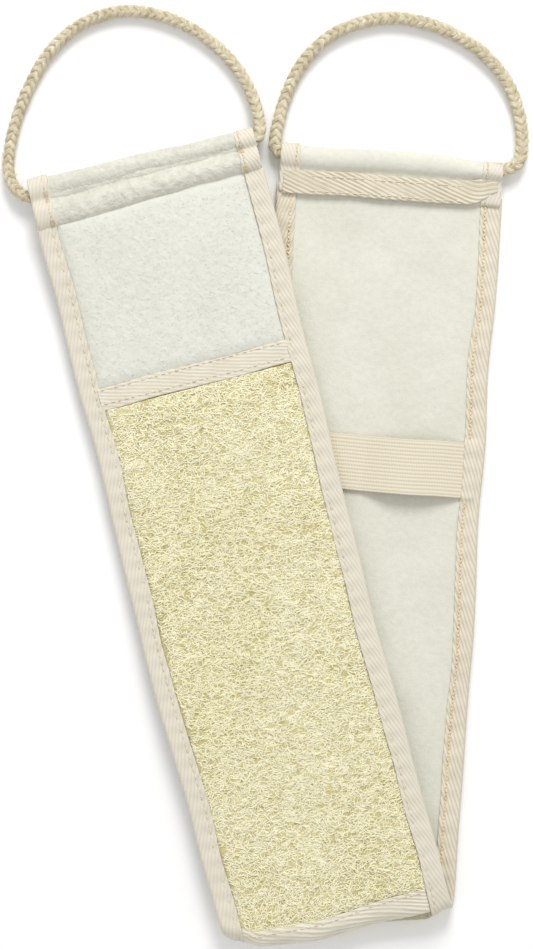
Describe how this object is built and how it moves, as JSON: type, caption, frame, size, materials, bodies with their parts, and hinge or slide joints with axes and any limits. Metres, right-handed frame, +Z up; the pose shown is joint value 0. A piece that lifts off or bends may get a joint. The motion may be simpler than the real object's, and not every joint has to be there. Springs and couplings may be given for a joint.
{
  "type": "loofah back scrubber",
  "caption": "Strap-shaped back scrubber of loofah and terry pads on cotton, with a hand strap and a rope loop handle at each end, folded in half.",
  "frame": {"origin": "on the floor, in the middle of the footprint without the ropes", "axes": "+Z up, +Y from the fold towards the free ends, +X to the right seen from above"},
  "size_m": [0.2582, 0.4551, 0.0171],
  "materials": {
    "loofah": "coarse tangled plant fibre, matte",
    "terry": "short cotton loop pile, matte",
    "brushed_cotton": "brushed cotton cloth, matte",
    "twill_tape": "cotton twill tape with a slanted rib, matte",
    "elastic_webbing": "lengthwise ribbed elastic webbing",
    "cotton_rope": "braided cotton rope, matte"
  },
  "bodies": {
    "rear_half": {"rear_loofah_pad": "loofah", "rear_terry_pad": "terry", "rear_backing": "brushed_cotton", "rear_left_binding": "twill_tape", "rear_right_binding": "twill_tape", "rear_cross_tape": "twill_tape", "rear_hem": "terry", "rear_hem_tape": "twill_tape", "elastic_hand_strap": "elastic_webbing"},
    "fold_bend": {"fold_left_binding": "twill_tape", "fold_right_binding": "twill_tape", "fold_backing": "brushed_cotton", "front_loofah_fold": "loofah", "rear_loofah_fold": "loofah", "centre_tape": "twill_tape"},
    "front_half": {"front_loofah_pad": "loofah", "front_terry_pad": "terry", "front_backing": "brushed_cotton", "front_left_binding": "twill_tape", "front_right_binding": "twill_tape", "front_cross_tape": "twill_tape", "front_hem": "terry", "front_hem_tape": "twill_tape"},
    "front_handle": {"front_handle_rope": "cotton_rope"},
    "rear_handle": {"rear_handle_rope": "cotton_rope"}
  },
  "joints": [
    {"name": "fold_lower", "type": "hinge", "parent": "rear_half", "child": "fold_bend", "pos_m": [0.03383, -0.18744, 0.00407], "axis": [0.9959, 0.0906, 0], "range_deg": [0, 90], "deforming": ["fold_left_binding", "fold_right_binding", "fold_backing", "front_loofah_fold", "rear_loofah_fold", "centre_tape"]},
    {"name": "fold_upper", "type": "hinge", "parent": "fold_bend", "child": "front_half", "pos_m": [0.03383, -0.18744, 0.01193], "axis": [0.9959, 0.0906, 0], "range_deg": [0, 90]},
    {"name": "front_handle_swing", "type": "hinge", "parent": "front_half", "child": "front_handle", "pos_m": [-0.0593, 0.1767, 0.00895], "axis": [0.9683, 0.2486, 0.0233], "range_deg": [0, 120]},
    {"name": "rear_handle_swing", "type": "hinge", "parent": "rear_half", "child": "rear_handle", "pos_m": [0.0599, 0.1808, 0.0056], "axis": [0.9976, -0.0698, 0], "range_deg": [0, 120]}
  ],
  "couplings": [
    {"joint": "fold_upper", "follows": "fold_lower", "ratio": 1}
  ]
}
